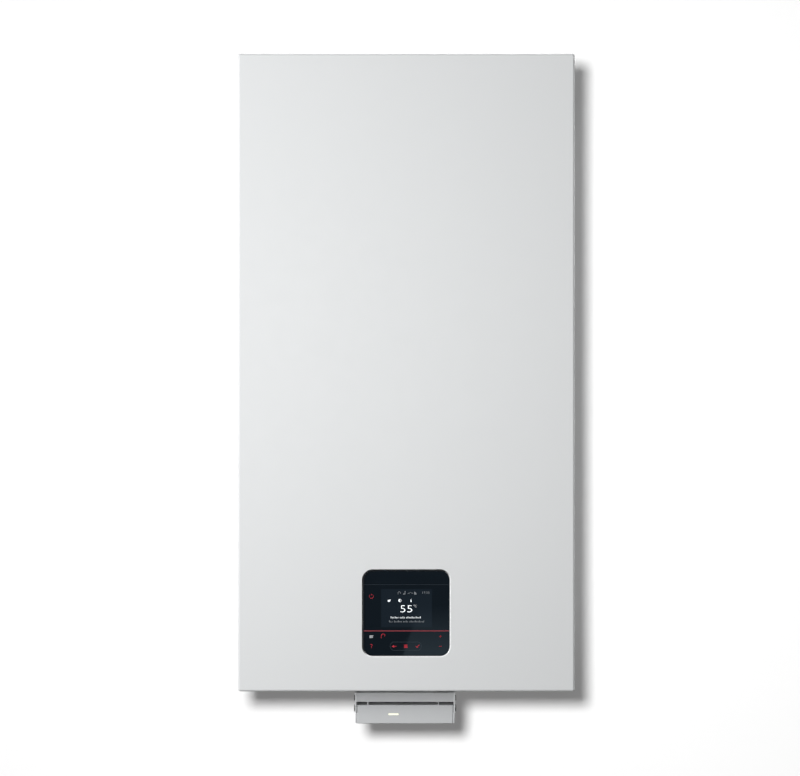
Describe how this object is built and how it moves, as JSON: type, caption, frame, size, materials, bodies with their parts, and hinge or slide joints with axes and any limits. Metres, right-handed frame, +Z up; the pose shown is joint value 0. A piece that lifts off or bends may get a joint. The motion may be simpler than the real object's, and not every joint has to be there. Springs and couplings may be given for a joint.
{
  "type": "combi boiler",
  "caption": "Wall-hung storage combi boiler: white box casing, lift-off front with a square touch display, slide-in radio receiver below, burner, fan, pumps, tanks and pipework inside.",
  "frame": {"origin": "on the wall plane, midway between the two bolt holes of the wall bracket", "axes": "+X to the right seen from the front, -Y out of the wall towards the user, +Z up"},
  "size_m": [0.47, 0.57, 0.9664],
  "materials": {
    "white_enamel": "satin",
    "galvanised": "zinc-coated sheet",
    "stainless": "brushed",
    "zinc_screws": "bright zinc",
    "black_rubber": "matt",
    "grey_foam": "expanded foam",
    "mineral_mat": "soft mat",
    "fibre": "pressed fibre",
    "cast_aluminium": "cast",
    "ceramic": "glazed",
    "red_enamel": "gloss",
    "blue_enamel": "gloss",
    "copper": "drawn tube",
    "yellow_brass": "cast and turned",
    "dark_iron": "painted",
    "black_plastic": "fine grain",
    "grey_plastic": "moulded",
    "white_plastic": "moulded",
    "red_plastic": "moulded",
    "receiver_plastic": "fine grain",
    "black_glass": "polished",
    "screen": "smooth",
    "circuit_board": "lacquered",
    "light_lens": "diffusing"
  },
  "bodies": {
    "chassis": {"wall_bracket": "galvanised", "rear_panel": "galvanised", "side_panels": "white_enamel", "top_panel": "white_enamel", "floor_pan": "galvanised", "front_rails": "galvanised", "bulkhead": "galvanised", "casing_screws": "zinc_screws", "floor_grommets": "black_rubber", "front_seal": "black_rubber", "receiver_cradle": "receiver_plastic", "flue_connector": "white_plastic", "flue_pipe": "grey_plastic", "flue_sump": "grey_plastic", "condensate_trap": "grey_plastic", "exchanger_shell": "stainless", "exchanger_coil": "stainless", "burner_door": "cast_aluminium", "door_insulation": "fibre", "burner_tube": "stainless", "igniter": "ceramic", "fan_housing": "cast_aluminium", "fan_motor": "black_plastic", "gas_air_mixer": "cast_aluminium", "air_silencer": "black_plastic", "gas_valve": "cast_aluminium", "gas_pipe": "copper", "storage_tanks": "stainless", "tank_insulation": "grey_foam", "heating_expansion_vessel": "red_enamel", "water_expansion_vessel": "blue_enamel", "plate_heat_exchanger": "stainless", "heating_pump_body": "dark_iron", "heating_pump_motor": "black_plastic", "charging_pump_housing": "yellow_brass", "diverter_body": "yellow_brass", "diverter_motor": "white_plastic", "relief_valve_body": "yellow_brass", "filling_tap_body": "yellow_brass", "heating_pipes": "copper", "water_pipes": "copper", "wiring_loom": "black_plastic"},
    "front_cover": {"front_cover": "white_enamel", "cover_insulation": "mineral_mat", "cover_hooks": "galvanised"},
    "control_box": {"control_box_housing": "black_plastic", "control_box_lid": "black_plastic", "main_circuit_board": "circuit_board", "display_glass": "black_glass", "display_screen": "screen"},
    "radio_receiver": {"receiver_housing": "receiver_plastic", "receiver_lid": "receiver_plastic", "receiver_board": "circuit_board", "receiver_light": "light_lens"},
    "fan_impeller": {"fan_impeller": "black_plastic"},
    "heating_pump_rotor": {"heating_pump_rotor": "grey_plastic"},
    "charging_pump_rotor": {"charging_pump_rotor": "grey_plastic"},
    "diverter_spindle": {"diverter_spindle": "stainless"},
    "relief_valve_knob": {"relief_valve_knob": "red_plastic"},
    "filling_tap_handle": {"filling_tap_handle": "black_plastic"}
  },
  "joints": [
    {"name": "cover_lift", "type": "slide", "parent": "chassis", "child": "front_cover", "axis": [0, -0.5501, 0.8351], "range_m": [0, 1]},
    {"name": "control_box_tilt", "type": "hinge", "parent": "chassis", "child": "control_box", "pos_m": [0, -0.54, -0.781], "axis": [1, 0, 0], "range_deg": [0, 90]},
    {"name": "receiver_slide", "type": "slide", "parent": "chassis", "child": "radio_receiver", "axis": [0, -1, 0], "range_m": [0, 0.12]},
    {"name": "fan_spin", "type": "hinge", "parent": "chassis", "child": "fan_impeller", "pos_m": [-0.087, -0.47, -0.31], "axis": [0, 1, 0], "continuous": true},
    {"name": "heating_pump_spin", "type": "hinge", "parent": "chassis", "child": "heating_pump_rotor", "pos_m": [-0.10627, -0.36, -0.65], "axis": [0, 1, 0], "continuous": true},
    {"name": "charging_pump_spin", "type": "hinge", "parent": "chassis", "child": "charging_pump_rotor", "pos_m": [-0.005, -0.36, -0.67], "axis": [0, 1, 0], "continuous": true},
    {"name": "diverter_stroke", "type": "slide", "parent": "chassis", "child": "diverter_spindle", "axis": [0, -1, 0], "range_m": [0, 0.008]},
    {"name": "relief_knob_turn", "type": "hinge", "parent": "chassis", "child": "relief_valve_knob", "pos_m": [0.206, -0.346, -0.62], "axis": [0, 0, 1], "range_deg": [0, 90]},
    {"name": "filling_tap_turn", "type": "hinge", "parent": "chassis", "child": "filling_tap_handle", "pos_m": [0.122, -0.438, -0.764], "axis": [0, 0, 1], "range_deg": [0, 90]}
  ],
  "couplings": [
    {"joint": "control_box_tilt", "follows": "cover_lift", "rad_per_m": 1.57}
  ]
}
